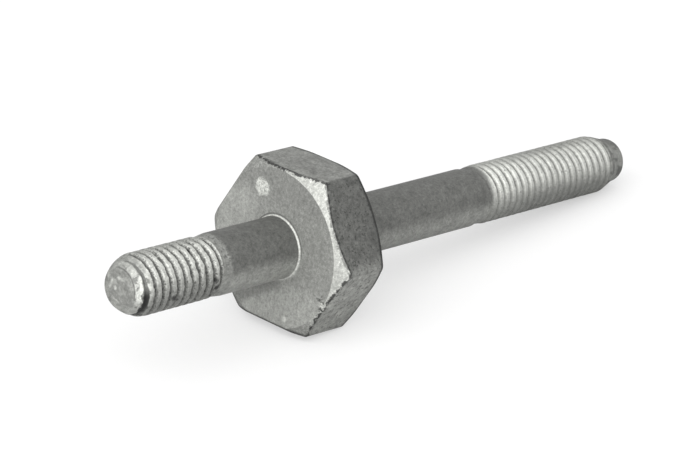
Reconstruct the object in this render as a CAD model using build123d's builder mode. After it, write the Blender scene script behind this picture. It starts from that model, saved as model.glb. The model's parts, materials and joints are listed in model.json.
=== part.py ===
from build123d import *

import os
from math import atan2, cos, radians, sin, tan

# Double-ended stud bolt with a hexagonal collar, forged, rolled and coated as one piece of steel.
#
# Lengths along the stud are measured on its axis from the collar's front face: negative towards the
# near end, which carries the short thread, and positive towards the far end, which carries the long
# thread and a plain pilot. All sizes are in millimetres.
#
# The stud lies as it comes to rest: the rear edge of the collar's lowest flat and the last full
# crest of the far thread touch the ground, and the near end stands clear of it. The origin is on the
# ground under the middle of the stud's length. +X runs to the far end and +Z is up.

# ---- Driving dimensions ------------------------------------------------------------------------

# Collar
across_flats = 21.0
collar_thickness = 8.2
collar_corner_radius = 0.7
chamfer_slope = 30.0  # degrees, from the collar's faces to the cones that trim its corners
land_margin = 0.1  # across the flats less the round land that each chamfer leaves
land_shift_across = 0.4  # both chamfers are struck off the axis, to the +Y side ...
land_shift_down = 0.28  # ... and towards the lowest flat

# Threads, the same size at both ends
thread_diameter = 8.0

# Near end: shank, cone down to the blank, short thread, rounded point
near_length = 27.8
near_shank_diameter = 8.1
near_shank_length = 11.5
near_cone_length = 1.6
near_neck_diameter = 7.72
near_neck_length = 0.5
near_lead_length = 0.9
near_point_length = 3.6
near_point_diameter = 3.2
near_shoulder_length = 0.85  # where the point's large round gives way to its small one
near_shoulder_diameter = 6.3

# Far end: shank, neck, long thread, pilot with a rounded end
far_length = 58.4
far_shank_diameter = 7.9
far_shank_length = 27.0
far_neck_diameter = 7.44
far_neck_fall = 1.1
far_neck_rise = 1.9
far_crest_length = 23.6
far_lead_length = 3.0
far_pilot_diameter = 6.1
far_point_radius = 1.3

# Shared details
shank_fillet = 0.35
same_place = 0.01  # points closer than this are taken as one

# ---- Places worked out from the dimensions --------------------------------------------------------

flat_radius = across_flats / 2
land_radius = (across_flats - land_margin) / 2
crest_radius = thread_diameter / 2
far_neck_place = collar_thickness + far_shank_length + far_neck_fall
far_crest_start = far_neck_place + far_neck_rise
far_crest_end = far_crest_start + far_crest_length
far_pilot_start = far_crest_end + far_lead_length
far_end = collar_thickness + far_length
near_neck_place = near_shank_length + near_cone_length + near_neck_length
near_crest_end = near_neck_place + near_lead_length

# The lowest flat ends at the collar's rear face, unless the chamfer reaches it there.
chamfer_reach = max(0, flat_radius - land_radius - land_shift_down)
rear_edge = collar_thickness - chamfer_reach * tan(radians(chamfer_slope))

# The stud tips over the collar's rear edge until the thread or the pilot reaches the ground.
tilt = min(
    atan2(flat_radius - crest_radius, far_crest_end - rear_edge),
    atan2(flat_radius - far_pilot_diameter / 2, far_end - far_point_radius - rear_edge),
)
near_reach = near_length * cos(tilt) + near_point_diameter / 2 * sin(tilt)
far_reach = far_end * cos(tilt) + (far_pilot_diameter / 2 - far_point_radius) * sin(tilt)
collar_front = Vector(
    (near_reach - far_reach) / 2,
    0,
    flat_radius * cos(tilt) + rear_edge * sin(tilt),
)
along = Vector(cos(tilt), 0, -sin(tilt))
across = Vector(0, 1, 0)
upward = Vector(sin(tilt), 0, cos(tilt))

stud_axis = Axis(collar_front, along)
lengthwise = Plane(origin=collar_front, x_dir=along, z_dir=-across)


def corner_trimmer(face_centre: Vector, outward: Vector) -> Part:
    """Ring whose sloped underside cuts the corners of one collar face back to a round land."""
    land_centre = face_centre + across * land_shift_across - upward * land_shift_down
    outer_radius = across_flats
    drop = (outer_radius - land_radius) * tan(radians(chamfer_slope))
    with BuildPart() as ring:
        with BuildSketch(Plane(origin=land_centre, x_dir=upward, z_dir=upward.cross(outward))):
            with BuildLine():
                Polyline(
                    (land_radius, 0),
                    (outer_radius, -drop),
                    (outer_radius, drop),
                    (land_radius, drop),
                    close=True,
                )
            make_face()
        revolve(axis=Axis(land_centre, outward))
    return ring.part


def meets_collar(edge: Edge) -> bool:
    """Whether a round edge is one of the two where a shank leaves the collar's faces."""
    place = lengthwise.to_local_coords(edge.arc_center)
    to_nearest_face = min(abs(place.X), abs(place.X - collar_thickness))
    on_axis = abs(place.Y) < same_place
    return on_axis and to_nearest_face < same_place and edge.radius < flat_radius / 2


# ---- The stud -----------------------------------------------------------------------------------

with BuildPart() as stud_bolt:
    # Hexagonal collar, one flat down, its corners rounded along the stud and trimmed to round lands
    with BuildSketch(Plane(origin=collar_front, x_dir=across, z_dir=along)):
        RegularPolygon(radius=flat_radius, side_count=6, major_radius=False)
    extrude(amount=collar_thickness)
    fillet(stud_bolt.edges().filter_by(stud_axis), radius=collar_corner_radius)
    add(corner_trimmer(collar_front, -along), mode=Mode.SUBTRACT)
    add(corner_trimmer(collar_front + along * collar_thickness, along), mode=Mode.SUBTRACT)

    # Turned shape of both ends: half the lengthwise section, spun about the axis
    with BuildSketch(lengthwise):
        with BuildLine():
            near_large_round = TangentArc(
                (-near_length + near_point_length, crest_radius),
                (-near_length + near_shoulder_length, near_shoulder_diameter / 2),
                tangent=(-1, 0),
            )
            near_small_round = TangentArc(
                near_large_round @ 1,
                (-near_length, near_point_diameter / 2),
                tangent=near_large_round % 1,
            )
            Polyline(
                near_large_round @ 0,
                (-near_crest_end, crest_radius),
                (-near_neck_place, near_neck_diameter / 2),
                (-near_neck_place + near_neck_length, near_neck_diameter / 2),
                (-near_shank_length, near_shank_diameter / 2),
                (collar_thickness / 2, near_shank_diameter / 2),
                (collar_thickness / 2, far_shank_diameter / 2),
                (collar_thickness + far_shank_length, far_shank_diameter / 2),
                (far_neck_place, far_neck_diameter / 2),
                (far_crest_start, crest_radius),
                (far_crest_end, crest_radius),
                (far_pilot_start, far_pilot_diameter / 2),
                (far_end - far_point_radius, far_pilot_diameter / 2),
            )
            far_round = TangentArc(
                (far_end - far_point_radius, far_pilot_diameter / 2),
                (far_end, far_pilot_diameter / 2 - far_point_radius),
                tangent=(1, 0),
            )
            Polyline(far_round @ 1, (far_end, 0), (-near_length, 0), near_small_round @ 1)
        make_face()
    revolve(axis=stud_axis)

    # Fillets where the shanks leave the collar
    fillet(stud_bolt.edges().filter_by(GeomType.CIRCLE).filter_by(meets_collar), radius=shank_fillet)

stud_bolt.part.label = "stud_bolt"

os.makedirs("parts", exist_ok=True)
export_step(stud_bolt.part, "parts/stud_bolt.step")
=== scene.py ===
"""Stud bolt with a hexagonal collar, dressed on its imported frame.

Lengths are in millimetres in the stud's own frame, whose first axis (station) runs along the stud from
the collar's front face to the far end, whose second (across) is level and whose third (up) completes
it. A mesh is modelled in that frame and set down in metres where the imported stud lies.
"""

from __future__ import annotations

import json
import logging
import math
from collections.abc import Callable, Sequence
from dataclasses import dataclass
from enum import Enum
from typing import NamedTuple

import bpy
import numpy as np
from mathutils import Matrix, Vector, noise


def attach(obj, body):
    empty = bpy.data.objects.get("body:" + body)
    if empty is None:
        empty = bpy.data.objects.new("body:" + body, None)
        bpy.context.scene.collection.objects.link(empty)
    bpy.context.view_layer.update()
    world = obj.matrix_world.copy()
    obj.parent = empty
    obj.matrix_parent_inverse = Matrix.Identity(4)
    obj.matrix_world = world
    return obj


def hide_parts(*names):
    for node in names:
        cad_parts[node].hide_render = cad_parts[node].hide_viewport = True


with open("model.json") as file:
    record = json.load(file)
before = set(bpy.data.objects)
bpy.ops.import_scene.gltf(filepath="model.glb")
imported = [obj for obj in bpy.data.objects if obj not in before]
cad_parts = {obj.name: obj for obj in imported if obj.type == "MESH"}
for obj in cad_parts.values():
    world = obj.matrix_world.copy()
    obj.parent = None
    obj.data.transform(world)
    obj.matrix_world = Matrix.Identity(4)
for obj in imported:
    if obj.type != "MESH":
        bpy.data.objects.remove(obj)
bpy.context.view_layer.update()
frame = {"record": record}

log = logging.getLogger("stud_bolt")

Span = tuple[float, float]
Place = tuple[float, float, float]

MM = 0.001
WELD = 0.0005  # vertices closer than this, in millimetres, are made one
BODY = "root"
NODE = "stud_bolt"


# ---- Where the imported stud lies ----


@dataclass(frozen=True)
class StudPlace:
    """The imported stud's axis, as its mounts give it."""

    front: Vector
    along: Vector
    across: Vector
    upward: Vector

    @classmethod
    def of_record(cls, record: dict) -> StudPlace:
        """Work out the stud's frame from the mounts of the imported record.

        Args:
            record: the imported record.

        Returns:
            The place of the collar's front face centre and the stud's three directions.
        """
        mounts = {mount["name"]: mount for mount in record["mounts"]}
        along = Vector(mounts["far_shank"]["axis"]).normalized()
        across = Vector((0.0, 1.0, 0.0))
        upward = along.cross(across)
        on_axis = Vector(mounts["far_shank"]["pos_m"])
        on_face = Vector(mounts["collar_front_face"]["pos_m"])
        front = on_axis + along * (on_face - on_axis).dot(along)
        return cls(front, along, across, upward)

    def matrix(self) -> Matrix:
        """Matrix from the stud's frame, in millimetres, to the scene, in metres."""
        turn = Matrix((self.along, self.across, self.upward)).transposed().to_4x4()
        return Matrix.Translation(self.front) @ turn @ Matrix.Scale(MM, 4)

    def point(self, station: float, across: float, up: float) -> Vector:
        """Scene position of a point of the stud's frame."""
        return self.matrix() @ Vector((station, across, up))

    def direction(self, station: float, across: float, up: float) -> Vector:
        """Scene direction of a direction of the stud's frame."""
        return (self.along * station + self.across * across + self.upward * up).normalized()


# ---- Modelling tools ----


class Step(NamedTuple):
    """A station of the stud and its radius there."""

    station: float
    radius: float


def deselect_all() -> None:
    """Leave object mode with nothing selected."""
    if bpy.context.object and bpy.context.object.mode != "OBJECT":
        bpy.ops.object.mode_set(mode="OBJECT")
    bpy.ops.object.select_all(action="DESELECT")


def make_active(obj: bpy.types.Object) -> None:
    """Select one object alone and make it the active one.

    Args:
        obj: the object.
    """
    deselect_all()
    obj.select_set(True)
    bpy.context.view_layer.objects.active = obj


def apply_modifier(obj: bpy.types.Object, kind: str, **settings: object) -> None:
    """Add a modifier with its settings and apply it.

    Args:
        obj: the object to change.
        kind: the modifier's type.
        settings: the modifier's own properties.
    """
    make_active(obj)
    modifier = obj.modifiers.new(kind.lower(), kind)
    for name, value in settings.items():
        setattr(modifier, name, value)
    bpy.ops.object.modifier_apply(modifier=modifier.name)


def evenly(start: float, stop: float, spacing: float) -> list[float]:
    """Values from start up to, and without, stop at about a spacing."""
    count = max(1, round(abs(stop - start) / spacing))
    return np.linspace(start, stop, count, endpoint=False).tolist()


def smooth_step(value: np.ndarray) -> np.ndarray:
    """Clamp to 0..1 and ease both ends."""
    clamped = np.clip(value, 0.0, 1.0)
    return clamped * clamped * (3.0 - 2.0 * clamped)


def lumps(points: np.ndarray, per_mm: float, seed: float) -> np.ndarray:
    """Smooth noise between about -1 and 1 at each point.

    Args:
        points: positions in millimetres, one a row.
        per_mm: how many lumps there are to a millimetre.
        seed: shift that gives each use its own pattern.

    Returns:
        One value a point.
    """
    shifted = points * per_mm + seed
    return np.array([noise.noise(Vector(point)) for point in shifted])


def spun(name: str, profile: Sequence[Step], columns: int) -> bpy.types.Object:
    """Turn a profile about the stud's axis into a closed solid.

    Args:
        name: the object's name.
        profile: the section's points, first and last on the axis.
        columns: how many columns go round.

    Returns:
        The solid, in the stud's frame.
    """
    deselect_all()
    bpy.ops.mesh.primitive_plane_add(size=1.0)
    obj = bpy.context.object
    obj.name = name
    bpy.ops.object.mode_set(mode="EDIT")
    bpy.ops.mesh.merge(type="CENTER")
    bpy.ops.transform.translate(value=(profile[0].station, profile[0].radius, 0.0))
    for before, after in zip(profile, profile[1:]):
        move = (after.station - before.station, after.radius - before.radius, 0.0)
        bpy.ops.mesh.extrude_vertices_move(TRANSFORM_OT_translate={"value": move})
    bpy.ops.mesh.select_all(action="SELECT")
    bpy.ops.mesh.spin(steps=columns, angle=math.tau, center=(0, 0, 0), axis=(1, 0, 0))
    bpy.ops.mesh.select_all(action="SELECT")
    bpy.ops.mesh.remove_doubles(threshold=WELD)
    bpy.ops.mesh.normals_make_consistent(inside=False)
    bpy.ops.object.mode_set(mode="OBJECT")
    return obj


# ---- Collar ----


@dataclass
class HexCollar:
    """The hexagonal collar, its side corners rounded and both faces trimmed to round lands.

    The lands are struck off the stud's axis by land_across and land_up, and angles are in degrees.
    """

    across_flats: float = 21.0
    thickness: float = 8.2
    corner_radius: float = 0.73
    corner_segments: int = 6
    land_radius: float = 10.45
    land_across: float = 0.4
    land_up: float = -0.28
    land_columns: int = 240
    chamfer_slope: float = 30.0
    edge_softness: float = 0.07
    edge_segments: int = 2
    softened_above: float = 20.0

    def prism(self) -> bpy.types.Object:
        """The hexagonal block, one flat down, with its side corners rounded.

        Returns:
            The block, in the stud's frame.
        """
        deselect_all()
        bpy.ops.mesh.primitive_cylinder_add(
            vertices=6,
            radius=self.across_flats / math.sqrt(3.0),
            depth=self.thickness,
            rotation=(0.0, math.pi / 2, 0.0),
            location=(self.thickness / 2, 0.0, 0.0),
        )
        obj = bpy.context.object
        obj.name = "hex_collar"
        bpy.ops.object.transform_apply(location=True, rotation=True, scale=True)
        bpy.ops.object.mode_set(mode="EDIT")
        bpy.ops.mesh.select_all(action="DESELECT")
        bpy.ops.object.mode_set(mode="OBJECT")
        for edge in obj.data.edges:
            ends = [obj.data.vertices[index].co for index in edge.vertices]
            edge.select = abs(ends[0].x - ends[1].x) > self.thickness / 2
        # The offset runs along the flats from a corner of 120 degrees to where its round begins.
        offset = self.corner_radius * math.tan(math.radians(30.0))
        bpy.ops.object.mode_set(mode="EDIT")
        bpy.ops.mesh.select_mode(type="EDGE")
        bpy.ops.mesh.bevel(offset=offset, segments=self.corner_segments, affect="EDGES")
        bpy.ops.mesh.select_mode(type="VERT")
        bpy.ops.object.mode_set(mode="OBJECT")
        return obj

    def disc(self) -> bpy.types.Object:
        """Disc with sloping rims whose overlap with the block gives the chamfers and lands.

        Returns:
            The disc, in the stud's frame, off the axis as the lands are.
        """
        outer = self.across_flats
        drop = (outer - self.land_radius) * math.tan(math.radians(self.chamfer_slope))
        profile = [
            Step(0.0, 0.0),
            Step(0.0, self.land_radius),
            Step(drop, outer),
            Step(self.thickness - drop, outer),
            Step(self.thickness, self.land_radius),
            Step(self.thickness, 0.0),
        ]
        obj = spun("disc", profile, self.land_columns)
        obj.data.transform(Matrix.Translation((0.0, self.land_across, self.land_up)))
        return obj

    def build(self) -> bpy.types.Object:
        """Trim the block with the disc and soften its edges.

        Returns:
            The collar, in the stud's frame.
        """
        block = self.prism()
        disc = self.disc()
        apply_modifier(block, "BOOLEAN", operation="INTERSECT", solver="EXACT", object=disc)
        bpy.data.objects.remove(disc)
        apply_modifier(
            block,
            "BEVEL",
            width=self.edge_softness,
            segments=self.edge_segments,
            limit_method="ANGLE",
            angle_limit=math.radians(self.softened_above),
        )
        return block


# ---- Round ends and their threads ----


class CollarFace(Enum):
    """A face of the collar, by the way along the stud from its shank to it."""

    FRONT = 1.0
    REAR = -1.0


@dataclass(frozen=True)
class RolledThread:
    """One right-hand thread: a ragged groove that winds round the stud and fades at its ends."""

    first: float  # station where the close rows of vertices begin
    last: float  # station where they end
    begin: float  # station of the groove where its turns are counted from
    turns: float  # the turn at which it starts to fade
    fade_in: float  # how many turns it takes to appear
    fade_out: float  # how many turns it takes to fade
    depth: float  # from the crests to the root
    mouth: float  # width at the crests
    seed: float  # shift that gives the thread its own unevenness
    full_from: float = 0.0  # the turn by which the groove has its full strength
    root: float = 0.12  # width at the root
    thinnest_side: float = 0.03  # least width of the slope from the crest to the root
    pitch: float = 1.25  # from one turn to the next
    start_angle: float = math.radians(150.6)  # where round the stud the turns are counted from
    raggedness: float = 0.3  # how much the mouth's width varies, as a share
    coarse: float = 1.3  # lumps of that unevenness to a millimetre
    fine: float = 3.1  # smaller lumps to a millimetre
    fine_share: float = 0.6  # how strong they are beside the coarse ones
    spread: float = 0.0  # how much wider the mouth is at its widest, as a share
    spread_turn: float = 0.25  # the turn where it is, and how many turns off it the mouth is even
    dent: float = 0.035  # depth of the dents in the crests
    dents: float = 0.9  # how many dents there are to a millimetre
    dented_from: float = 3.6  # radius beyond which there are dents
    spacing: float = 0.074  # from one row of vertices to the next

    def half_mouth(self, spot: np.ndarray, turn: np.ndarray, strength: np.ndarray) -> np.ndarray:
        """Half the mouth's width beside each vertex.

        Args:
            spot: vertex positions in the stud's frame, one a row.
            turn: turns from the groove's start to each vertex.
            strength: how strong the groove is there, from 0 to 1.

        Returns:
            One width a vertex.
        """
        ragged = lumps(spot, self.coarse, self.seed)
        ragged += self.fine_share * lumps(spot, self.fine, self.seed + 9.0)
        half = self.mouth / 2 * (1.0 + self.raggedness * ragged) * np.sqrt(strength)
        widest = np.clip(1.0 - np.abs(turn - self.spread_turn) / self.spread_turn, 0.0, 1.0)
        return half * (1.0 + self.spread * widest)

    def cut(self, spot: np.ndarray) -> tuple[np.ndarray, np.ndarray]:
        """Press the thread into vertices of the blank.

        Args:
            spot: vertex positions in the stud's frame, one a row.

        Returns:
            The new positions, and how deep in the groove each lies from 0 to 1.
        """
        radius = np.hypot(spot[:, 1], spot[:, 2])
        angle = np.mod(np.arctan2(spot[:, 2], spot[:, 1]) - self.start_angle, math.tau)
        turned = angle / math.tau
        count = (spot[:, 0] - self.begin) / self.pitch - turned
        nearest = np.round(count)
        off = np.abs(count - nearest) * self.pitch
        turn = nearest + turned
        rising = smooth_step((turn - self.full_from + self.fade_in) / self.fade_in)
        falling = smooth_step((self.turns + self.fade_out - turn) / self.fade_out)
        strength = rising * falling
        half_mouth = self.half_mouth(spot, turn, strength)
        width = np.maximum(half_mouth - self.root / 2, self.thinnest_side)
        fall = np.clip((half_mouth - off) / width, 0.0, 1.0)
        groove = strength * (smooth_step(fall) + fall) / 2
        dents = np.clip(lumps(spot, self.dents, self.seed + 31.0), 0.0, 1.0) * (radius > self.dented_from)
        floor = (radius + radius.max()) / 2 - self.depth * groove
        threaded = np.minimum(radius - self.dent * dents, floor)
        cut = spot.copy()
        cut[:, 1:] *= (threaded / radius)[:, None]
        return cut, groove


@dataclass
class TurnedEnds:
    """Everything of the stud that is round: both ends with their threads, spun as one solid.

    Inside the collar, deeper than sunk, the section runs straight from one end to the other.
    """

    columns: int = 144
    crest_radius: float = 4.0
    collar_thickness: float = HexCollar.thickness
    fillet: float = 0.35
    sunk: float = 1.5

    near_end: float = -27.5
    near_dish: float = 0.06
    near_flat_radius: float = 1.3
    near_crease: Step = Step(-27.3, 2.68)
    near_round_end: float = -24.4
    near_round_power: float = 1.8
    near_crest_end: float = -14.2
    near_neck: tuple[Step, Step] = (Step(-13.6, 3.86), Step(-13.1, 3.86))
    near_shank: Step = Step(-11.5, 4.05)

    far_shank: Step = Step(35.2, 3.95)
    far_neck: Step = Step(36.3, 3.72)
    far_crest_start: float = 38.2
    far_crest_end: float = 61.8
    far_pilot: Step = Step(64.8, 3.05)
    far_end: float = 66.6
    far_point_radius: float = 1.3

    face_spacing: float = 0.3
    tip_spacing: float = 0.12
    cone_spacing: float = 0.35
    near_shank_spacing: float = 1.6
    far_shank_spacing: float = 2.0
    neck_spacing: float = 0.2
    fillet_points: int = 6
    point_points: int = 9

    near_thread: RolledThread = RolledThread(
        first=-26.95,
        last=-12.9,
        begin=-26.13,
        turns=10.1,
        fade_in=0.6,
        fade_out=0.4,
        depth=0.5,
        mouth=0.8,
        seed=3.0,
        full_from=0.2,
        raggedness=0.45,
        spread=0.7,
    )
    far_thread: RolledThread = RolledThread(
        first=36.4,
        last=64.9,
        begin=37.25,
        turns=22.5,
        fade_in=1.4,
        fade_out=0.5,
        depth=0.36,
        mouth=0.85,
        seed=57.0,
    )

    @staticmethod
    def straight(station: float, steps: Sequence[Step]) -> float:
        """Radius at a station, in a straight line from each step to the next."""
        return float(np.interp(station, [step.station for step in steps], [step.radius for step in steps]))

    @staticmethod
    def row(radius_at: Callable[[float], float], start: float, stop: float, spacing: float) -> list[Step]:
        """Points of the section from start up to, and without, stop at about a spacing."""
        return [Step(station, radius_at(station)) for station in evenly(start, stop, spacing)]

    def near_face(self) -> list[Step]:
        """Pressed face of the near tip, dished in the middle and falling back towards its crease.

        Returns:
            Points from the axis up to, and without, the crease.
        """
        crease = self.near_crease
        points = [Step(self.near_end + self.near_dish, 0.0)]
        for radius in evenly(self.near_flat_radius, crease.radius, self.face_spacing):
            share = (radius - self.near_flat_radius) / (crease.radius - self.near_flat_radius)
            points.append(Step(self.near_end + (crease.station - self.near_end) * share**2, radius))
        return points

    def near_radius(self, station: float) -> float:
        """Radius of the near end, from its crease to the collar, before its thread is pressed in.

        Args:
            station: where along the stud.

        Returns:
            The radius.
        """
        crease = self.near_crease
        if station < self.near_round_end:
            share = (self.near_round_end - station) / (self.near_round_end - crease.station)
            return self.crest_radius - (self.crest_radius - crease.radius) * share**self.near_round_power
        crest = Step(self.near_crest_end, self.crest_radius)
        return self.straight(station, (crest, *self.near_neck, self.near_shank))

    def far_radius(self, station: float) -> float:
        """Radius of the far end, from the collar to its pilot, before its thread is pressed in.

        Args:
            station: where along the stud.

        Returns:
            The radius.
        """
        crest_start = Step(self.far_crest_start, self.crest_radius)
        crest_end = Step(self.far_crest_end, self.crest_radius)
        steps = (self.far_shank, self.far_neck, crest_start, crest_end, self.far_pilot)
        return self.straight(station, steps)

    def quarter_round(self, station: float, radius: float, face: CollarFace) -> list[Step]:
        """Hollow quarter round where a shank meets the collar.

        Args:
            station: station of the round's centre.
            radius: distance of its centre from the axis.
            face: which face it runs out to.

        Returns:
            Points from the shank to the face.
        """
        points = []
        for turn in np.linspace(0.0, 90.0, self.fillet_points):
            reach = self.fillet * math.sin(math.radians(turn)) * face.value
            rise = self.fillet * math.cos(math.radians(turn))
            points.append(Step(station + reach, radius - rise))
        return points

    def near_half(self) -> list[Step]:
        """Section of the near end, closely spaced where its thread runs.

        Returns:
            Points from the middle of the near tip into the collar.
        """
        thread, shank = self.near_thread, self.near_shank
        points = self.near_face()
        points += self.row(self.near_radius, self.near_crease.station, thread.first, self.tip_spacing)
        points += self.row(self.near_radius, thread.first, thread.last, thread.spacing)
        points += self.row(self.near_radius, thread.last, shank.station, self.cone_spacing)
        points += self.row(self.near_radius, shank.station, -self.fillet, self.near_shank_spacing)
        points += self.quarter_round(-self.fillet, shank.radius + self.fillet, CollarFace.FRONT)
        return points + [Step(self.sunk, shank.radius + self.fillet)]

    def far_half(self) -> list[Step]:
        """Section of the far end, closely spaced where its thread runs.

        Returns:
            Points from inside the collar to the middle of the far tip.
        """
        thread, shank = self.far_thread, self.far_shank
        face = self.collar_thickness
        bend = self.far_end - self.far_point_radius
        low = self.far_pilot.radius - self.far_point_radius
        points = [Step(face - self.sunk, shank.radius + self.fillet)]
        points += self.quarter_round(face + self.fillet, shank.radius + self.fillet, CollarFace.REAR)[::-1]
        points += self.row(self.far_radius, face + self.fillet, shank.station, self.far_shank_spacing)
        points += self.row(self.far_radius, shank.station, thread.first, self.neck_spacing)
        points += self.row(self.far_radius, thread.first, thread.last, thread.spacing)
        points += self.row(self.far_radius, thread.last, bend, self.neck_spacing)
        for turn in np.linspace(90.0, 0.0, self.point_points):
            reach = self.far_point_radius * math.cos(math.radians(turn))
            rise = self.far_point_radius * math.sin(math.radians(turn))
            points.append(Step(bend + reach, low + rise))
        return points + [Step(self.far_end, low / 2), Step(self.far_end, 0.0)]

    def build(self) -> bpy.types.Object:
        """Spin the solid and press both threads into it.

        Returns:
            The solid, in the stud's frame, with the attribute `groove` on its vertices.
        """
        obj = spun("turned_ends", self.near_half() + self.far_half(), self.columns)
        mesh = obj.data
        spots = np.empty(len(mesh.vertices) * 3)
        mesh.vertices.foreach_get("co", spots)
        spots = spots.reshape(-1, 3)
        groove = np.zeros(len(spots))
        for thread in (self.near_thread, self.far_thread):
            inside = (spots[:, 0] > thread.first) & (spots[:, 0] < thread.last)
            spots[inside], groove[inside] = thread.cut(spots[inside])
        mesh.vertices.foreach_set("co", spots.ravel())
        mesh.attributes.new("groove", "FLOAT", "POINT").data.foreach_set("value", groove)
        mesh.update()
        return obj


# ---- Finish ----

Socket = bpy.types.NodeSocket


class Nodes:
    """Short words for wiring a material."""

    def __init__(self, name: str) -> None:
        """Start a material of this name with its output and its Principled shader."""
        self.material = bpy.data.materials.new(name)
        self.material.use_nodes = True
        self.tree = self.material.node_tree
        self.tree.nodes.clear()
        self.shader = self.tree.nodes.new("ShaderNodeBsdfPrincipled")
        output = self.tree.nodes.new("ShaderNodeOutputMaterial")
        self.tree.links.new(self.shader.outputs[0], output.inputs["Surface"])

    def put(self, socket: Socket, value: object) -> None:
        """Link a socket's output, or set a plain value.

        Args:
            socket: the input to fill.
            value: another node's output, or a value.
        """
        if isinstance(value, Socket):
            self.tree.links.new(value, socket)
        else:
            socket.default_value = value

    def math(self, operation: str, *values: object) -> Socket:
        """One Math node.

        Args:
            operation: the node's operation.
            values: its inputs in order, each an output or a number.

        Returns:
            The result.
        """
        node = self.tree.nodes.new("ShaderNodeMath")
        node.operation = operation
        for socket, value in zip(node.inputs, values):
            self.put(socket, value)
        return node.outputs[0]

    def vector_math(self, operation: str, first: object, second: object) -> bpy.types.Node:
        """One Vector Math node.

        Args:
            operation: the node's operation.
            first: its first vector.
            second: its second vector.

        Returns:
            The node.
        """
        node = self.tree.nodes.new("ShaderNodeVectorMath")
        node.operation = operation
        self.put(node.inputs[0], first)
        self.put(node.inputs[1], second)
        return node

    def span(self, value: object, low: float, high: float) -> Socket:
        """Ease from 0 at low to 1 at high.

        Args:
            value: what is compared.
            low: where the result leaves 0.
            high: where it reaches 1, on either side of low.

        Returns:
            The result.
        """
        node = self.tree.nodes.new("ShaderNodeMapRange")
        node.interpolation_type = "SMOOTHSTEP"
        self.put(node.inputs["Value"], value)
        node.inputs["From Min"].default_value = low
        node.inputs["From Max"].default_value = high
        return node.outputs["Result"]

    def within(self, value: object, low: float, high: float, ease: float) -> Socket:
        """1 between low and high, easing off outside.

        Args:
            value: what is compared.
            low: the lower limit.
            high: the upper limit.
            ease: half the distance over which the result changes at a limit.

        Returns:
            The result.
        """
        rising = self.span(value, low - ease, low + ease)
        falling = self.span(value, high + ease, high - ease)
        return self.math("MULTIPLY", rising, falling)

    def times(self, *values: object) -> Socket:
        """Product of several values.

        Args:
            values: outputs or numbers.

        Returns:
            The product.
        """
        result = values[0]
        for value in values[1:]:
            result = self.math("MULTIPLY", result, value)
        return result

    def swing(self, texture: object, amount: float) -> Socket:
        """A factor that varies about 1 as a texture of 0 to 1 does, by an amount in all."""
        return self.math("MULTIPLY_ADD", texture, amount, 1.0 - amount / 2)

    def ragged(self, value: object, texture: object, amount: float) -> Socket:
        """A value that a texture of 0 to 1 shifts up and down, by an amount in all."""
        return self.math("MULTIPLY_ADD", self.math("SUBTRACT", texture, 0.5), amount, value)

    def noise(self, vector: Socket, scale: float, detail: float, roughness: float) -> Socket:
        """Noise from 0 to 1.

        Args:
            vector: the place, in millimetres.
            scale: lumps a millimetre.
            detail: how many times finer lumps are added.
            roughness: how strong the finer lumps are.

        Returns:
            The noise.
        """
        node = self.tree.nodes.new("ShaderNodeTexNoise")
        self.put(node.inputs["Vector"], vector)
        node.inputs["Scale"].default_value = scale
        node.inputs["Detail"].default_value = detail
        node.inputs["Roughness"].default_value = roughness
        return node.outputs["Fac"]

    def lay(self, under: object, share: object, over: object) -> Socket:
        """Lay one plain value on another.

        Args:
            under: the value below.
            share: how much of it is covered, from 0 to 1.
            over: the value on top.

        Returns:
            The result.
        """
        node = self.tree.nodes.new("ShaderNodeMix")
        node.data_type = "FLOAT"
        self.put(node.inputs[0], share)
        self.put(node.inputs[2], under)
        self.put(node.inputs[3], over)
        return node.outputs[0]

    def tint(self, colour: tuple[float, float, float], value: object) -> Socket:
        """A colour made darker or lighter by a value.

        Args:
            colour: the colour at a value of 1.
            value: the factor.

        Returns:
            The colour.
        """
        node = self.tree.nodes.new("ShaderNodeVectorMath")
        node.operation = "SCALE"
        node.inputs[0].default_value = colour
        self.put(node.inputs["Scale"], value)
        return node.outputs[0]

    def dot(self, vector: Socket, direction: Vector) -> Socket:
        """How far a vector reaches along a direction."""
        return self.vector_math("DOT_PRODUCT", vector, direction).outputs["Value"]

    def near(self, vector: Socket, spot: Place) -> Socket:
        """Distance of a place from a spot."""
        return self.vector_math("DISTANCE", vector, spot).outputs["Value"]

    def attribute(self, name: str) -> Socket:
        """A value stored on the mesh.

        Args:
            name: the attribute's name.

        Returns:
            The value.
        """
        node = self.tree.nodes.new("ShaderNodeAttribute")
        node.attribute_name = name
        return node.outputs["Fac"]

    def stud_place(self, place: StudPlace) -> Socket:
        """Position in the stud's own frame, in millimetres.

        Args:
            place: where the stud lies.

        Returns:
            The position.
        """
        objects_own = self.tree.nodes.new("ShaderNodeTexCoord").outputs["Object"]
        mapping = self.tree.nodes.new("ShaderNodeMapping")
        mapping.vector_type = "TEXTURE"
        mapping.inputs["Location"].default_value = place.front
        tilt = math.atan2(-place.along.z, place.along.x)
        mapping.inputs["Rotation"].default_value = (0.0, tilt, 0.0)
        mapping.inputs["Scale"].default_value = (MM, MM, MM)
        self.put(mapping.inputs["Vector"], objects_own)
        return mapping.outputs["Vector"]


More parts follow.
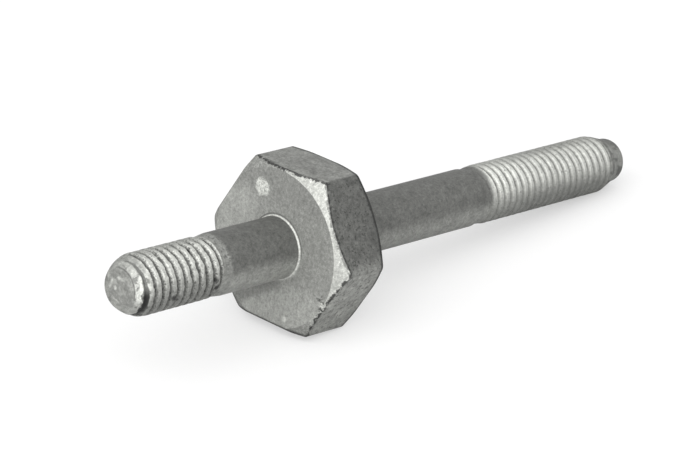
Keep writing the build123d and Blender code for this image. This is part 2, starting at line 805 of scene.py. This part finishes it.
@dataclass(frozen=True)
class CoatAreas:
    """Values that the coating's layers share, each a socket of the material."""

    spot: Socket  # position in the stud's frame
    station: Socket  # how far along the stud it is
    across: Socket  # how far to the side of the axis
    up: Socket  # how far above the axis
    radius: Socket  # how far from the axis
    height: Socket  # up as a share of the radius
    turn: Socket  # how far round towards the upper back, from -1 to 1
    facing: Socket  # how far the surface faces the near end, from -1 to 1
    groove: Socket  # how deep in a thread
    collar: Socket  # 1 on the collar
    right: Socket  # reach towards the flat that faces -across and up
    low: Socket  # reach towards the flat that faces -across and down
    hex_reach: Socket  # the largest reach towards any flat
    to_front: Socket  # distance of a flat's place from the front chamfer's edge
    to_rear: Socket  # distance of a flat's place from the rear chamfer's edge
    rubbed_side: Socket  # 1 on the -across side, which faces the lamp and carries the painted highlights
    cloud: Socket  # the coarsest noise
    patch: Socket  # coarse noise
    mottle: Socket  # noise of mixed sizes
    chip: Socket  # medium noise
    speck: Socket  # fine noise
    grain: Socket  # the finest noise

    @classmethod
    def of(cls, n: Nodes, place: StudPlace) -> CoatAreas:
        """Work the shared values out of the position and the normal.

        Args:
            n: the material's nodes.
            place: where the stud lies.

        Returns:
            The sockets.
        """
        spot = n.stud_place(place)
        station = n.dot(spot, Vector((1, 0, 0)))
        across = n.dot(spot, Vector((0, 1, 0)))
        up = n.dot(spot, Vector((0, 0, 1)))
        radius = n.math("SQRT", n.math("ADD", n.times(across, across), n.times(up, up)))
        normal = n.tree.nodes.new("ShaderNodeTexCoord").outputs["Normal"]
        slant = math.cos(math.radians(30.0))
        right = n.dot(spot, Vector((0, -slant, 0.5)))
        low = n.dot(spot, Vector((0, -slant, -0.5)))
        pairs = n.math("MAXIMUM", n.math("ABSOLUTE", right), n.math("ABSOLUTE", low))
        shift_across = n.math("SUBTRACT", across, HexCollar.land_across)
        shift_up = n.math("SUBTRACT", up, HexCollar.land_up)
        squares = n.math("ADD", n.times(shift_across, shift_across), n.times(shift_up, shift_up))
        beyond_land = n.math("SUBTRACT", n.math("SQRT", squares), HexCollar.land_radius)
        fall = n.times(n.math("MAXIMUM", beyond_land, 0.0), math.tan(math.radians(HexCollar.chamfer_slope)))
        between_faces = n.within(station, -0.03, HexCollar.thickness + 0.05, 0.02)
        return cls(
            spot=spot,
            station=station,
            across=across,
            up=up,
            radius=radius,
            height=n.math("DIVIDE", up, radius),
            turn=n.math("DIVIDE", n.dot(spot, Vector((0, 0.5, slant))), radius),
            facing=n.dot(normal, -place.along),
            groove=n.attribute("groove"),
            collar=n.times(between_faces, n.span(radius, 4.42, 4.5)),
            right=right,
            low=low,
            hex_reach=n.math("MAXIMUM", pairs, n.math("ABSOLUTE", up)),
            to_front=n.math("SUBTRACT", station, fall),
            to_rear=n.math("SUBTRACT", n.math("SUBTRACT", HexCollar.thickness, fall), station),
            rubbed_side=n.span(across, 1.5, -0.5),
            cloud=n.noise(spot, 0.7, 4.0, 0.6),
            patch=n.noise(spot, 1.1, 3.0, 0.5),
            mottle=n.noise(spot, 2.3, 5.0, 0.75),
            chip=n.noise(spot, 2.4, 3.0, 0.55),
            speck=n.noise(spot, 4.0, 2.0, 0.6),
            grain=n.noise(spot, 5.5, 3.0, 0.65),
        )


@dataclass(frozen=True)
class Tones:
    """How light the coating is in each area, from 0 to 1."""

    face: float = 0.27
    face_pale: float = 0.36
    face_top: float = 0.2376
    # chamfer is a painted highlight on the front chamfer on the lamp's side; dull_chamfer is the rest of it
    chamfer: float = 0.46
    dull_chamfer: float = 0.25
    # The flats' tones are painted light and shade by the way each faces: the right flat darkest, the low
    # flat paler with painted light from the floor.
    top_flat: float = 0.235
    right_flat: float = 0.125
    low_flat: float = 0.33
    other_flats: float = 0.22
    # the _under tones are painted light from the floor on the shanks' undersides
    near_shank: float = 0.14
    near_shank_under: float = 0.33
    far_shank: float = 0.145
    far_shank_under: float = 0.30
    cone: float = 0.264
    # near_tip_bright is the painted highlight on the near tip's shoulder, and a pale ring on its face
    near_tip: float = 0.275
    near_tip_bright: float = 0.68
    # the crest tones are painted highlights, the _shade tones painted shade underneath and at the upper
    # back
    near_crest: float = 0.60
    near_crest_shade: float = 0.24
    # the groove tones are painted shade in the threads' grooves
    near_groove: float = 0.15
    far_crest: float = 0.60
    far_crest_shade: float = 0.23
    far_groove: float = 0.22
    far_stain: float = 0.132
    # the pilot's dark tone serves both its stains in clouds and painted shade along its top
    pilot: float = 0.25
    pilot_stain_and_shade: float = 0.075
    # painted highlight on the fillet at the near shank's root
    root_highlight: float = 0.589
    # rubbed: rubbed marks, and pale speckles laid thicker under the chamfer's painted highlight;
    # soot_and_shade: soot and chips, and painted shade in creases and grooves
    rubbed: float = 0.62
    soot_and_shade: float = 0.02


@dataclass(frozen=True)
class Bands:
    """Stations over which one tone gives way to the next, from the first number to the second."""

    tip_ring: Span = (-27.3, -27.4)
    tip_rim: Span = (-27.1, -27.25)
    shoulder: Span = (-27.38, -27.0)
    tip: Span = (-25.3, -25.8)
    near_thread: Span = (-13.19, -13.31)
    far_half: Span = (5.0, 6.0)
    far_thread: Span = (37.3, 37.9)
    far_grit: Span = (37.0, 38.0)
    pilot: Span = (61.9, 62.8)


@dataclass(frozen=True)
class Mark:
    """A small mark: its place in the stud's frame, and how far it reaches from there."""

    place: Place
    reach: float


@dataclass(frozen=True)
class FlakeCoat:
    """Matt grey flake coating, mottled and grainy, paler where it is rubbed, with painted highlights and
    painted shade laid on it.
    """

    tones: Tones = Tones()
    bands: Bands = Bands()
    hue: tuple[float, float, float] = (1.0, 1.015, 0.955)  # the colour of a lightness of 1
    metallic: float = 0.3
    roughness: float = 0.42  # where the grain adds nothing
    bump_strength: float = 0.3
    bump_height: float = 0.05 * MM
    flat_edges: Span = (10.2, 10.4)  # reach over which a flat's own tone begins
    cone: Span = (-13.3, -11.9)  # stations of the rubbed band beside the near thread
    to_shank_shadow: Place = (0.0, -0.549, -0.836)  # from the axis, square to the band of painted shadow that the near shank casts
    shank_shadow_band: Span = (2.5, 4.9)  # how far that way the band of painted shadow lies
    dab: Mark = Mark((0.0, 3.6, 7.0), 1.35)
    low_spot: Mark = Mark((0.0, -2.6, -9.0), 0.6)
    tip_spot: Mark = Mark((-27.5, 0.6, -0.05), 0.4)
    nick: Mark = Mark((0.1, -8.9, -4.9), 1.3)
    pits: tuple[Mark, ...] = (
        Mark((-21.45, -3.75, -1.05), 0.62),
        Mark((-14.7, -3.9, -0.2), 0.6),
        Mark((-14.1, -3.8, -1.2), 0.5),
        Mark((-17.5, -1.35, 3.65), 0.4),
        Mark((-16.15, -3.0, 2.5), 0.4),
    )

    def material(self, place: StudPlace) -> bpy.types.Material:
        """Wire the coating.

        Args:
            place: where the stud lies.

        Returns:
            The material.
        """
        n = Nodes("flake_coat")
        area = CoatAreas.of(n, place)
        layers = CoatLayers(self, n, area)
        value = n.lay(layers.turned_ends(), area.collar, layers.collar())
        value = layers.nick_and_pits(layers.edge_soot_and_shade(layers.marks_highlight_and_shadow(value)))
        grit = n.swing(area.mottle, 1.8)
        grit = n.lay(grit, n.times(n.span(area.station, *self.bands.far_grit), 0.6), 1.0)
        value = n.times(value, n.swing(area.cloud, 0.7), n.swing(area.grain, 0.9), grit)
        n.put(n.shader.inputs["Base Color"], n.tint(self.hue, value))
        n.put(n.shader.inputs["Metallic"], self.metallic)
        n.put(n.shader.inputs["Roughness"], n.math("MULTIPLY_ADD", area.grain, 0.2, self.roughness))
        bump = n.tree.nodes.new("ShaderNodeBump")
        bump.inputs["Strength"].default_value = self.bump_strength
        bump.inputs["Distance"].default_value = self.bump_height
        n.put(bump.inputs["Height"], n.math("ADD", area.grain, n.times(area.cloud, 0.8)))
        n.put(n.shader.inputs["Normal"], bump.outputs[0])
        return n.material


@dataclass(frozen=True)
class CoatLayers:
    """The flake coating's layers on one material, each giving how light the coating is."""

    coat: FlakeCoat
    nodes: Nodes
    area: CoatAreas

    def turned_ends(self) -> Socket:
        """Lightness of everything but the collar.

        Returns:
            The lightness.
        """
        n, area, bands = self.nodes, self.area, self.coat.bands
        value = self.shanks()
        value = n.lay(value, n.span(area.station, *bands.near_thread), self.near_thread())
        value = n.lay(value, n.span(area.station, *bands.tip), self.near_tip())
        value = n.lay(value, n.span(area.station, *bands.far_thread), self.far_thread())
        return n.lay(value, n.span(area.station, *bands.pilot), self.pilot())

    def shanks(self) -> Socket:
        """Lightness of both shanks, paler underneath with painted light from the floor, and of the rubbed
        cone.

        Returns:
            The lightness.
        """
        n, area, tones = self.nodes, self.area, self.coat.tones
        # painted light from the floor: both shanks paler underneath
        under = n.span(area.height, 0.3, -0.35)
        near = n.lay(tones.near_shank, under, tones.near_shank_under)
        far = n.lay(tones.far_shank, under, tones.far_shank_under)
        value = n.lay(near, n.span(area.station, *self.coat.bands.far_half), far)
        cone = n.times(n.within(area.station, *self.coat.cone, 0.3), n.span(area.chip, 0.34, 0.5))
        return n.lay(value, cone, tones.cone)

    def crests(self, rubbed: float, dull: float, falling: Span) -> Socket:
        """Lightness of a thread's crests: a painted highlight between painted shade underneath and at the
        upper back.

        Args:
            rubbed: lightness of the painted highlight.
            dull: lightness of the painted shade underneath and at the upper back.
            falling: values of turn over which the one gives way to the other.

        Returns:
            The lightness.
        """
        n, area = self.nodes, self.area
        # painted highlight on the crests, giving way to painted shade underneath and at the upper back
        crest = n.lay(rubbed, n.span(area.turn, *falling), dull)
        return n.lay(crest, n.times(n.span(area.turn, 0.6, 0.97), 0.7), dull)

    def near_thread(self) -> Socket:
        """Lightness of the near thread, with dark chips in its grooves.

        Returns:
            The lightness.
        """
        n, area, tones = self.nodes, self.area, self.coat.tones
        crest = self.crests(tones.near_crest, tones.near_crest_shade, (0.35, -0.85))
        # painted shade in the grooves
        value = n.lay(crest, n.span(n.ragged(area.groove, area.chip, 2.0), 0.2, 0.8), tones.near_groove)
        chips = n.times(n.span(area.groove, 0.0, 0.15), n.span(area.chip, 0.46, 0.38))
        return n.lay(value, n.times(chips, 0.7), tones.soot_and_shade)

    def far_thread(self) -> Socket:
        """Lightness of the far thread, brightest at its start, with a few stains.

        Returns:
            The lightness.
        """
        n, area, tones = self.nodes, self.area, self.coat.tones
        crest = self.crests(tones.far_crest, tones.far_crest_shade, (0.2, -0.75))
        crest = n.times(crest, n.lay(1.2, n.span(area.station, 38.5, 48.0), 0.95))
        # painted shade in the grooves, fading towards the underside
        grooves = n.span(n.ragged(area.groove, area.chip, 0.8), 0.15, 0.9)
        value = n.lay(crest, n.times(grooves, n.span(area.turn, -1.3, 0.2)), tones.far_groove)
        return n.lay(value, n.times(n.span(area.chip, 0.40, 0.32), 0.6), tones.far_stain)

    def pilot(self) -> Socket:
        """Lightness of the plain pilot, stained in clouds, with painted shade along its top.

        Returns:
            The lightness.
        """
        n, area, tones = self.nodes, self.area, self.coat.tones
        # clouds of stain, and painted shade along the top towards the upper back
        stains_and_shade = n.math("MAXIMUM", n.span(area.cloud, 0.52, 0.42), n.span(area.turn, 0.3, 0.9))
        return n.lay(tones.pilot, n.times(stains_and_shade, 0.65), tones.pilot_stain_and_shade)

    def near_tip(self) -> Socket:
        """Lightness of the near tip: a dull pressed face, a painted highlight on its shoulder and painted
        shade in its groove.

        Returns:
            The lightness.
        """
        n, area, tones = self.nodes, self.area, self.coat.tones
        # painted highlight on the shoulder, on the lamp's side
        shoulder = n.times(n.span(area.station, *self.coat.bands.shoulder), area.rubbed_side)
        shoulder = n.times(shoulder, n.span(area.patch, 0.34, 0.46))
        shoulder = n.times(shoulder, n.lay(0.3, n.within(area.height, -0.3, 0.75, 0.2), 1.0))
        value = n.lay(n.times(n.swing(area.patch, 1.2), tones.near_tip), shoulder, tones.near_tip_bright)
        ring = n.times(n.within(area.radius, 1.25, 1.6, 0.2), n.span(area.patch, 0.45, 0.6))
        ring = n.times(ring, n.span(area.station, *self.coat.bands.tip_ring), 0.5)
        value = n.lay(value, ring, tones.near_tip_bright)
        # painted shade in the groove at the tip, darkest underneath
        depth = n.lay(tones.near_groove, n.span(area.height, 0.35, -0.1), tones.soot_and_shade)
        return n.lay(value, n.span(area.groove, 0.05, 0.45), depth)

    def collar(self) -> Socket:
        """Lightness of the collar's faces, chamfers and flats.

        Returns:
            The lightness.
        """
        n, area, tones = self.nodes, self.area, self.coat.tones
        # painted light and shade: each flat has its own tone by the way it faces, the right flat fading
        # into the paler low flat
        lower = n.span(n.math("SUBTRACT", area.low, area.right), -1.8, 1.4)
        side = n.lay(tones.right_flat, lower, tones.low_flat)
        side = n.lay(side, n.times(n.span(area.chip, 0.44, 0.34), 0.6), tones.soot_and_shade)
        flats = n.lay(tones.other_flats, n.span(area.up, *self.coat.flat_edges), tones.top_flat)
        flats = n.lay(flats, n.span(n.math("MAXIMUM", area.right, area.low), *self.coat.flat_edges), side)
        flats = n.times(flats, n.swing(area.patch, 1.2))
        chamfered = n.span(area.facing, 0.5, 0.7)
        # painted highlight on the front chamfer on the lamp's side, above its lowest part; its pale
        # speckles are laid thicker there
        chamfer_highlight = n.times(area.rubbed_side, n.span(area.up, -9.0, -6.5))
        value = n.lay(flats, chamfered, n.lay(tones.dull_chamfer, chamfer_highlight, tones.chamfer))
        speckles = n.times(chamfered, n.span(area.speck, 0.5, 0.68), n.lay(0.3, chamfer_highlight, 0.6))
        value = n.lay(value, speckles, tones.rubbed)
        pale = n.math("MAXIMUM", n.span(area.across, 1.0, 6.5), n.span(area.up, -2.0, -7.0))
        face = n.lay(tones.face, pale, tones.face_pale)
        face = n.lay(face, n.span(area.up, 4.5, 7.5), tones.face_top)
        return n.lay(value, n.span(n.math("ABSOLUTE", area.facing), 0.93, 0.98), face)

    def marks_highlight_and_shadow(self, value: Socket) -> Socket:
        """Lay the painted highlight on the root's fillet, the painted shadow below the near shank and the
        rubbed spots on the coating.

        Args:
            value: the lightness below.

        Returns:
            The lightness.
        """
        n, area, tones = self.nodes, self.area, self.coat.tones
        # painted highlight: a pale ring on the fillet where the near shank meets the collar
        root = n.times(n.within(area.station, -0.22, -0.04, 0.04), n.within(area.radius, 4.08, 4.42, 0.04))
        value = n.lay(value, n.times(root, 0.95), tones.root_highlight)
        # painted shadow that the near shank casts on the collar's front face, below it
        shank_shadow = n.within(n.dot(area.spot, Vector(self.coat.to_shank_shadow)), *self.coat.shank_shadow_band, 0.6)
        shank_shadow = n.times(shank_shadow, n.span(area.across, -2.5, 0.5), n.span(area.facing, 0.5, 0.9), area.collar)
        value = n.lay(value, n.times(shank_shadow, 0.65), tones.near_shank)
        dab = self.coat.dab
        off = n.ragged(n.near(area.spot, dab.place), area.patch, 1.2)
        rubbed = n.times(n.span(off, dab.reach, dab.reach - 0.4), n.span(area.speck, 0.3, 0.5))
        value = n.lay(value, rubbed, tones.rubbed)
        for mark, middle, share in ((self.coat.low_spot, 0.2, 0.8), (self.coat.tip_spot, 0.15, 0.6)):
            rubbed = n.times(n.span(n.near(area.spot, mark.place), mark.reach, middle), share)
            value = n.lay(value, rubbed, tones.rubbed)
        return value

    def edge_soot_and_shade(self, value: Socket) -> Socket:
        """Lay painted shade in the near tip's crease and along the collar's lower front rim, and soot round
        the front chamfer and along the flats' ends.

        Args:
            value: the lightness below.

        Returns:
            The lightness.
        """
        n, area, soot_and_shade = self.nodes, self.area, self.coat.tones.soot_and_shade
        # painted shade in the near tip's crease, on the lamp's side
        crease_shade = n.times(n.span(area.station, *self.coat.bands.tip_rim), area.rubbed_side)
        crease_shade = n.times(crease_shade, n.within(area.radius, 2.6, 2.74, 0.05), n.span(area.height, -0.3, 0.1))
        value = n.lay(value, n.times(crease_shade, 0.5), soot_and_shade)
        from_flat = n.math("SUBTRACT", HexCollar.across_flats / 2, area.hex_reach)
        on_chamfer = n.times(n.span(area.facing, 0.2, 0.4), area.collar)
        line = n.times(n.span(n.ragged(from_flat, area.chip, 1.3), 0.28, 0.12), on_chamfer)
        sides = n.math("MAXIMUM", n.span(area.up, 10.0, 10.3), n.span(area.low, 10.0, 10.3))
        sides = n.math("MAXIMUM", sides, n.times(n.span(area.right, 10.0, 10.3), 0.6))
        value = n.lay(value, n.times(line, sides, 0.9), soot_and_shade)
        # painted shade along the front chamfer's lower edge, where the collar sits on the floor
        contact_shade = n.times(n.span(area.up, -2.0, -6.0), n.span(area.across, -6.5, -5.0))
        contact_shade = n.times(contact_shade, n.span(from_flat, 0.55, 0.2), on_chamfer)
        value = n.lay(value, n.times(contact_shade, 0.8), soot_and_shade)
        on_flats = n.times(n.span(n.math("ABSOLUTE", area.facing), 0.5, 0.3), area.collar)
        value = n.lay(value, n.times(n.span(area.to_rear, 0.5, 0.2), on_flats, 0.85), soot_and_shade)
        front = n.times(n.span(area.to_front, 0.45, 0.12), on_flats, n.span(area.chip, 0.62, 0.47))
        return n.lay(value, n.times(front, 0.8), soot_and_shade)

    def nick_and_pits(self, value: Socket) -> Socket:
        """Lay the nick at the collar's lower edge and the near thread's pits on the coating.

        Args:
            value: the lightness below.

        Returns:
            The lightness.
        """
        n, area, tones = self.nodes, self.area, self.coat.tones
        nick = self.coat.nick
        off = n.ragged(n.near(area.spot, nick.place), area.chip, 2.5)
        dark = n.times(n.span(off, nick.reach, nick.reach - 0.6), n.span(area.patch, 0.55, 0.45))
        value = n.lay(value, n.times(dark, 0.8), tones.soot_and_shade)
        value = n.lay(value, n.times(n.span(off, 0.6, 0.2), 0.8), tones.rubbed)
        for pit in self.coat.pits:
            off = n.ragged(n.near(area.spot, pit.place), area.chip, 0.9)
            value = n.lay(value, n.times(n.span(off, pit.reach, pit.reach / 2), 0.9), tones.soot_and_shade)
        return value


# ---- The stud ----


@dataclass
class StudBolt:
    """The whole stud: round ends and collar as one dressed piece."""

    place: StudPlace
    smoothed_below: float = 22.0  # degrees between faces

    def build(self) -> bpy.types.Object:
        """Model the stud, set it down and dress it.

        Returns:
            The finished piece.
        """
        ends = TurnedEnds().build()
        log.info("round ends: %d vertices", len(ends.data.vertices))
        collar = HexCollar().build()
        log.info("collar: %d vertices", len(collar.data.vertices))
        deselect_all()
        collar.select_set(True)
        ends.select_set(True)
        bpy.context.view_layer.objects.active = ends
        bpy.ops.object.join()
        ends.name = "stud"
        ends.data.transform(self.place.matrix())
        make_active(ends)
        bpy.ops.object.shade_smooth_by_angle(angle=math.radians(self.smoothed_below))
        ends.data.materials.clear()
        ends.data.materials.append(FlakeCoat().material(self.place))
        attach(ends, BODY)
        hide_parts(NODE)
        return ends


# ---- Studio ----


@dataclass
class Studio:
    """Pale floor, one soft lamp, an even sky and the camera.

    The camera's places are in the stud's frame, in millimetres. The floor and the lamp are in metres.
    """

    place: StudPlace
    eye: Place = (-315.5, -288.9, 162.8)
    aim: Place = (12.0, -1.5, 0.0)
    camera_up: Place = (0.183, 0.318, 0.930)
    lens: float = 185.35
    nearest: float = 0.01
    floor_size: float = 6.0
    floor_seen: float = 0.52
    floor_bounce: float = 0.55
    floor_lift: float = 0.47
    floor_roughness: float = 0.9
    floor_gloss: float = 0.1
    sky: float = 0.7
    lamp_seat: Place = (-0.86, -0.46, 0.55)
    lamp_size: float = 2.0
    lamp_power: float = 23.0

    def camera(self) -> None:
        """Place the camera and make it the scene's own."""
        eye = self.place.point(*self.eye)
        back = (eye - self.place.point(*self.aim)).normalized()
        right = self.place.direction(*self.camera_up).cross(back).normalized()
        up = back.cross(right)
        data = bpy.data.cameras.new("camera")
        data.lens = self.lens
        data.clip_start = self.nearest
        obj = bpy.data.objects.new("camera", data)
        turn = Matrix((right, up, back)).transposed().to_4x4()
        obj.matrix_world = Matrix.Translation(eye) @ turn
        bpy.context.scene.collection.objects.link(obj)
        bpy.context.scene.camera = obj

    def floor(self) -> None:
        """White floor that the camera sees as plain white, apart from the shadows."""
        deselect_all()
        bpy.ops.mesh.primitive_plane_add(size=self.floor_size)
        floor = bpy.context.object
        floor.name = "floor"
        n = Nodes("floor_white")
        seen = n.tree.nodes.new("ShaderNodeLightPath").outputs["Is Camera Ray"]
        white = n.lay(self.floor_bounce, seen, self.floor_seen)
        n.put(n.shader.inputs["Base Color"], n.tint((1.0, 1.0, 1.0), white))
        n.put(n.shader.inputs["Roughness"], self.floor_roughness)
        n.put(n.shader.inputs["Specular IOR Level"], self.floor_gloss)
        n.put(n.shader.inputs["Emission Color"], (1.0, 1.0, 1.0, 1.0))
        n.put(n.shader.inputs["Emission Strength"], n.times(seen, self.floor_lift))
        floor.data.materials.append(n.material)

    def lamp(self) -> None:
        """Large square lamp that faces the stud."""
        data = bpy.data.lights.new("key", "AREA")
        data.size = self.lamp_size
        data.energy = self.lamp_power
        seat = Vector(self.lamp_seat)
        obj = bpy.data.objects.new("key", data)
        obj.location = seat
        obj.rotation_euler = seat.to_track_quat("Z", "Y").to_euler()
        bpy.context.scene.collection.objects.link(obj)

    def world(self) -> None:
        """Even white sky."""
        world = bpy.data.worlds.new("studio")
        bpy.context.scene.world = world
        world.use_nodes = True
        background = world.node_tree.nodes["Background"]
        background.inputs["Color"].default_value = (1.0, 1.0, 1.0, 1.0)
        background.inputs["Strength"].default_value = self.sky

    def build(self) -> None:
        """Set up the whole studio."""
        self.floor()
        self.world()
        self.lamp()
        self.camera()
        bpy.context.scene.view_settings.view_transform = "Standard"


def main() -> None:
    """Build the stud and its studio."""
    logging.basicConfig(level=logging.INFO, format="%(message)s")
    place = StudPlace.of_record(frame["record"])
    StudBolt(place).build()
    log.info("stud bolt: done")
    Studio(place).build()
    log.info("studio: done")


if __name__ == "__main__":
    main()
